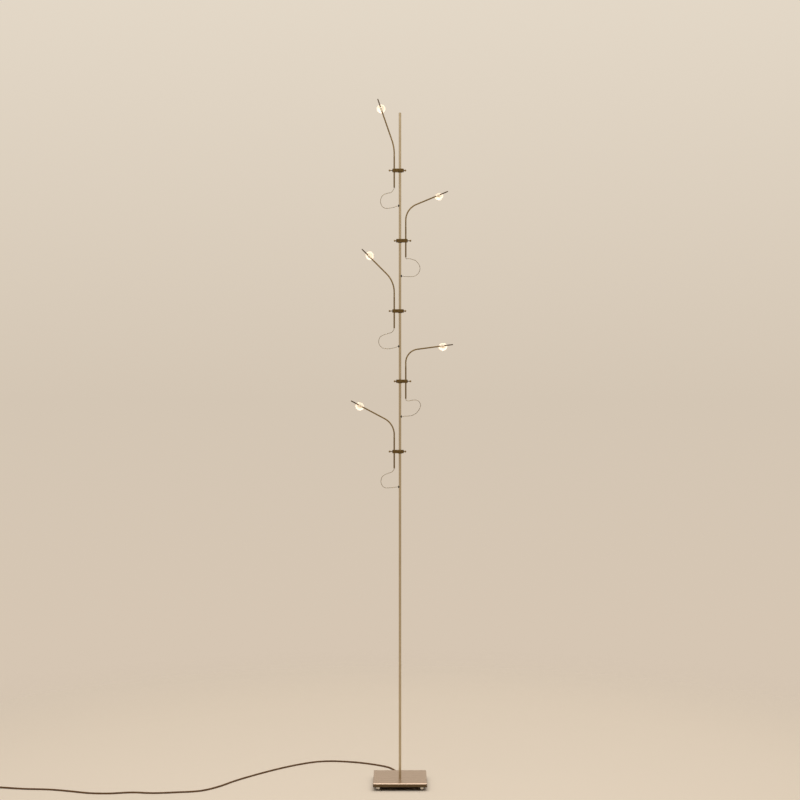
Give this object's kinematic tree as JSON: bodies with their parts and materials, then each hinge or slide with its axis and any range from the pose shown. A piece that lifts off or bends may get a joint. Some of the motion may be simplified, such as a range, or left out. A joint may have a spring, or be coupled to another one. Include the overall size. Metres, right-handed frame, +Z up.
{
  "type": "projector floor lamp",
  "caption": "Thin-poled floor lamp on a square plate; small glass-lens projectors on bendable arms are clamped up the pole, each fed by a looped wire; lead to a plug-in supply.",
  "frame": {"origin": "on the floor, under the middle of the square base, without the free cord", "axes": "+Z up the pole, +Y the way the lenses throw their light, X across it in the plane of the arms"},
  "size_m": [1.5371, 0.498, 2.1946],
  "materials": {
    "satin_nickel": "satin, warm",
    "dark_nickel": "satin, warm, darker than the pole",
    "base_steel": "brushed, warm",
    "bronze": "dark bronze, satin",
    "steel": "turned, bright",
    "rubber": "matt",
    "nylon": "matt",
    "clear_wire": "translucent sheath",
    "black_plastic": "fine matt texture",
    "cord_sheath": "satin, dark brown",
    "grip": "satin black",
    "lens_glass": "clear, polished",
    "lit_holder": "frosted, lit warm from inside"
  },
  "bodies": {
    "stand": {"base_plate": "base_steel", "base_feet": "steel", "foot_pads": "rubber", "pole": "satin_nickel", "pole_nut": "steel", "pole_cap": "satin_nickel", "wire_grommets": "rubber", "lamp_wires": "clear_wire", "junction_block": "black_plastic", "cord_relief": "rubber", "cord_run": "cord_sheath", "cord_coil": "cord_sheath", "cord_tie": "rubber", "power_supply": "black_plastic", "plug_pins": "steel"},
    "liner_1": {"pole_liner_1": "nylon"},
    "clamp_1": {"clamp_block_1": "bronze"},
    "pole_screw_1": {"pole_screw_1": "bronze"},
    "arm_screw_1": {"arm_screw_1": "bronze"},
    "arm_1": {"arm_tube_1": "dark_nickel"},
    "neck_1": {"arm_neck_1": "dark_nickel"},
    "head_1": {"led_module_1": "lit_holder", "head_grip_1": "grip", "lens_1": "lens_glass"},
    "liner_2": {"pole_liner_2": "nylon"},
    "clamp_2": {"clamp_block_2": "bronze"},
    "pole_screw_2": {"pole_screw_2": "bronze"},
    "arm_screw_2": {"arm_screw_2": "bronze"},
    "arm_2": {"arm_tube_2": "dark_nickel"},
    "neck_2": {"arm_neck_2": "dark_nickel"},
    "head_2": {"led_module_2": "lit_holder", "head_grip_2": "grip", "lens_2": "lens_glass"},
    "liner_3": {"pole_liner_3": "nylon"},
    "clamp_3": {"clamp_block_3": "bronze"},
    "pole_screw_3": {"pole_screw_3": "bronze"},
    "arm_screw_3": {"arm_screw_3": "bronze"},
    "arm_3": {"arm_tube_3": "dark_nickel"},
    "neck_3": {"arm_neck_3": "dark_nickel"},
    "head_3": {"led_module_3": "lit_holder", "head_grip_3": "grip", "lens_3": "lens_glass"},
    "liner_4": {"pole_liner_4": "nylon"},
    "clamp_4": {"clamp_block_4": "bronze"},
    "pole_screw_4": {"pole_screw_4": "bronze"},
    "arm_screw_4": {"arm_screw_4": "bronze"},
    "arm_4": {"arm_tube_4": "dark_nickel"},
    "neck_4": {"arm_neck_4": "dark_nickel"},
    "head_4": {"led_module_4": "lit_holder", "head_grip_4": "grip", "lens_4": "lens_glass"},
    "liner_5": {"pole_liner_5": "nylon"},
    "clamp_5": {"clamp_block_5": "bronze"},
    "pole_screw_5": {"pole_screw_5": "bronze"},
    "arm_screw_5": {"arm_screw_5": "bronze"},
    "arm_5": {"arm_tube_5": "dark_nickel"},
    "neck_5": {"arm_neck_5": "dark_nickel"},
    "head_5": {"led_module_5": "lit_holder", "head_grip_5": "grip", "lens_5": "lens_glass"}
  },
  "joints": [
    {"name": "light_1_height", "type": "slide", "parent": "stand", "child": "liner_1", "axis": [0, 0, 1], "range_m": [-0.05, 0.05], "deforming": ["lamp_wires"]},
    {"name": "light_1_swing", "type": "hinge", "parent": "liner_1", "child": "clamp_1", "pos_m": [0, 0, 1.965], "axis": [0, 0, 1], "range_deg": [-60, 60]},
    {"name": "arm_1_turn", "type": "hinge", "parent": "clamp_1", "child": "arm_1", "pos_m": [-0.0185, 0, 1.965], "axis": [0, 0, 1], "range_deg": [-120, 120]},
    {"name": "arm_1_bend", "type": "hinge", "parent": "arm_1", "child": "neck_1", "pos_m": [-0.02034, 0, 2.04012], "axis": [0, -1, 0], "range_deg": [-4, 81], "deforming": ["arm_neck_1"]},
    {"name": "head_1_turn", "type": "hinge", "parent": "neck_1", "child": "head_1", "pos_m": [-0.06082, 0, 2.16333], "axis": [-0.3256, 0, 0.9455], "range_deg": [-150, 150]},
    {"name": "light_2_height", "type": "slide", "parent": "stand", "child": "liner_2", "axis": [0, 0, 1], "range_m": [-0.05, 0.05]},
    {"name": "light_2_swing", "type": "hinge", "parent": "liner_2", "child": "clamp_2", "pos_m": [0, 0, 1.74], "axis": [0, 0, 1], "range_deg": [-60, 60]},
    {"name": "arm_2_turn", "type": "hinge", "parent": "clamp_2", "child": "arm_2", "pos_m": [0.0185, 0, 1.74], "axis": [0, 0, 1], "range_deg": [-120, 120]},
    {"name": "arm_2_bend", "type": "hinge", "parent": "arm_2", "child": "neck_2", "pos_m": [0.02777, 0, 1.83606], "axis": [0, 1, 0], "range_deg": [-47.5, 32.5], "deforming": ["arm_neck_2"]},
    {"name": "head_2_turn", "type": "hinge", "parent": "neck_2", "child": "head_2", "pos_m": [0.12332, 0, 1.88567], "axis": [0.9239, 0, 0.3827], "range_deg": [-150, 150]},
    {"name": "light_3_height", "type": "slide", "parent": "stand", "child": "liner_3", "axis": [0, 0, 1], "range_m": [-0.05, 0.05]},
    {"name": "light_3_swing", "type": "hinge", "parent": "liner_3", "child": "clamp_3", "pos_m": [0, 0, 1.515], "axis": [0, 0, 1], "range_deg": [-60, 60]},
    {"name": "arm_3_turn", "type": "hinge", "parent": "clamp_3", "child": "arm_3", "pos_m": [-0.0185, 0, 1.515], "axis": [0, 0, 1], "range_deg": [-120, 120]},
    {"name": "arm_3_bend", "type": "hinge", "parent": "arm_3", "child": "neck_3", "pos_m": [-0.02497, 0, 1.60703], "axis": [0, -1, 0], "range_deg": [-25, 55], "deforming": ["arm_neck_3"]},
    {"name": "head_3_turn", "type": "hinge", "parent": "neck_3", "child": "head_3", "pos_m": [-0.09907, 0, 1.69028], "axis": [-0.7071, 0, 0.7071], "range_deg": [-150, 150]},
    {"name": "light_4_height", "type": "slide", "parent": "stand", "child": "liner_4", "axis": [0, 0, 1], "range_m": [-0.05, 0.05]},
    {"name": "light_4_swing", "type": "hinge", "parent": "liner_4", "child": "clamp_4", "pos_m": [0, 0, 1.29], "axis": [0, 0, 1], "range_deg": [-60, 60]},
    {"name": "arm_4_turn", "type": "hinge", "parent": "clamp_4", "child": "arm_4", "pos_m": [0.0185, 0, 1.29], "axis": [0, 0, 1], "range_deg": [-120, 120]},
    {"name": "arm_4_bend", "type": "hinge", "parent": "arm_4", "child": "neck_4", "pos_m": [0.02917, 0, 1.37835], "axis": [0, 1, 0], "range_deg": [-62.5, 17.5], "deforming": ["arm_neck_4"]},
    {"name": "head_4_turn", "type": "hinge", "parent": "neck_4", "child": "head_4", "pos_m": [0.13727, 0, 1.40335], "axis": [0.9914, 0, 0.1305], "range_deg": [-150, 150]},
    {"name": "light_5_height", "type": "slide", "parent": "stand", "child": "liner_5", "axis": [0, 0, 1], "range_m": [-0.05, 0.05]},
    {"name": "light_5_swing", "type": "hinge", "parent": "liner_5", "child": "clamp_5", "pos_m": [0, 0, 1.065], "axis": [0, 0, 1], "range_deg": [-60, 60]},
    {"name": "arm_5_turn", "type": "hinge", "parent": "clamp_5", "child": "arm_5", "pos_m": [-0.0185, 0, 1.065], "axis": [0, 0, 1], "range_deg": [-120, 120]},
    {"name": "arm_5_bend", "type": "hinge", "parent": "arm_5", "child": "neck_5", "pos_m": [-0.02678, 0, 1.14887], "axis": [0, -1, 0], "range_deg": [-42, 38], "deforming": ["arm_neck_5"]},
    {"name": "head_5_turn", "type": "hinge", "parent": "neck_5", "child": "head_5", "pos_m": [-0.12806, 0, 1.21211], "axis": [-0.8829, 0, 0.4695], "range_deg": [-150, 150]},
    {"name": "pole_screw_1_turn", "type": "hinge", "parent": "clamp_1", "child": "pole_screw_1", "pos_m": [0.0125, 0, 1.965], "axis": [1, 0, 0], "range_deg": [0, 360]},
    {"name": "arm_screw_1_turn", "type": "hinge", "parent": "clamp_1", "child": "arm_screw_1", "pos_m": [-0.0247, 0, 1.965], "axis": [-1, 0, 0], "range_deg": [0, 360]},
    {"name": "pole_screw_2_turn", "type": "hinge", "parent": "clamp_2", "child": "pole_screw_2", "pos_m": [-0.0125, 0, 1.74], "axis": [-1, 0, 0], "range_deg": [0, 360]},
    {"name": "arm_screw_2_turn", "type": "hinge", "parent": "clamp_2", "child": "arm_screw_2", "pos_m": [0.0247, 0, 1.74], "axis": [1, 0, 0], "range_deg": [0, 360]},
    {"name": "pole_screw_3_turn", "type": "hinge", "parent": "clamp_3", "child": "pole_screw_3", "pos_m": [0.0125, 0, 1.515], "axis": [1, 0, 0], "range_deg": [0, 360]},
    {"name": "arm_screw_3_turn", "type": "hinge", "parent": "clamp_3", "child": "arm_screw_3", "pos_m": [-0.0247, 0, 1.515], "axis": [-1, 0, 0], "range_deg": [0, 360]},
    {"name": "pole_screw_4_turn", "type": "hinge", "parent": "clamp_4", "child": "pole_screw_4", "pos_m": [-0.0125, 0, 1.29], "axis": [-1, 0, 0], "range_deg": [0, 360]},
    {"name": "arm_screw_4_turn", "type": "hinge", "parent": "clamp_4", "child": "arm_screw_4", "pos_m": [0.0247, 0, 1.29], "axis": [1, 0, 0], "range_deg": [0, 360]},
    {"name": "pole_screw_5_turn", "type": "hinge", "parent": "clamp_5", "child": "pole_screw_5", "pos_m": [0.0125, 0, 1.065], "axis": [1, 0, 0], "range_deg": [0, 360]},
    {"name": "arm_screw_5_turn", "type": "hinge", "parent": "clamp_5", "child": "arm_screw_5", "pos_m": [-0.0247, 0, 1.065], "axis": [-1, 0, 0], "range_deg": [0, 360]}
  ]
}
